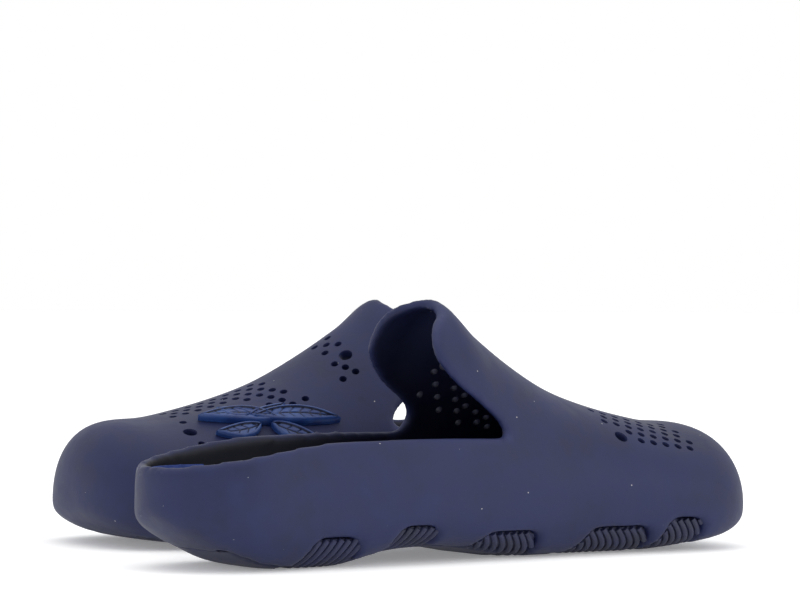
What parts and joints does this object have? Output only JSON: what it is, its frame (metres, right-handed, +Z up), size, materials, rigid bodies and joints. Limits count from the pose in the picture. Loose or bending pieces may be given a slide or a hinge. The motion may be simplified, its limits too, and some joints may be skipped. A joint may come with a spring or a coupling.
{
  "type": "pair of rubber garden clogs",
  "caption": "Pair of moulded open-heel garden clogs with closed toes, air holes, ribbed tread windows, loose footbeds and a push-in leaf charm.",
  "frame": {"origin": "on the ground under the middle of the right clog's heel tread", "axes": "+X from the right clog's heel to its toe, +Y to the wearer's left, +Z up"},
  "size_m": [0.3375, 0.226, 0.1079],
  "materials": {
    "clog_foam": "matte moulded navy, slightly chalky",
    "tread_rubber": "matte navy, ribbed",
    "footbed_foam": "matte bright blue",
    "charm_vinyl": "satin soft vinyl"
  },
  "bodies": {
    "right_clog": {"right_body": "clog_foam", "right_outsole": "tread_rubber", "right_footbed": "footbed_foam"},
    "left_clog": {"left_body": "clog_foam", "left_outsole": "tread_rubber", "left_footbed": "footbed_foam"},
    "charm": {"charm_leaf": "charm_vinyl", "charm_stud": "charm_vinyl"}
  },
  "joints": [
    {"name": "left_clog_slide", "type": "slide", "parent": "right_clog", "child": "left_clog", "axis": [0, 1, 0], "range_m": [0, 0.12]},
    {"name": "charm_pull", "type": "slide", "parent": "left_clog", "child": "charm", "axis": [-0.1841, -0.5981, 0.78], "range_m": [0, 0.016]}
  ]
}
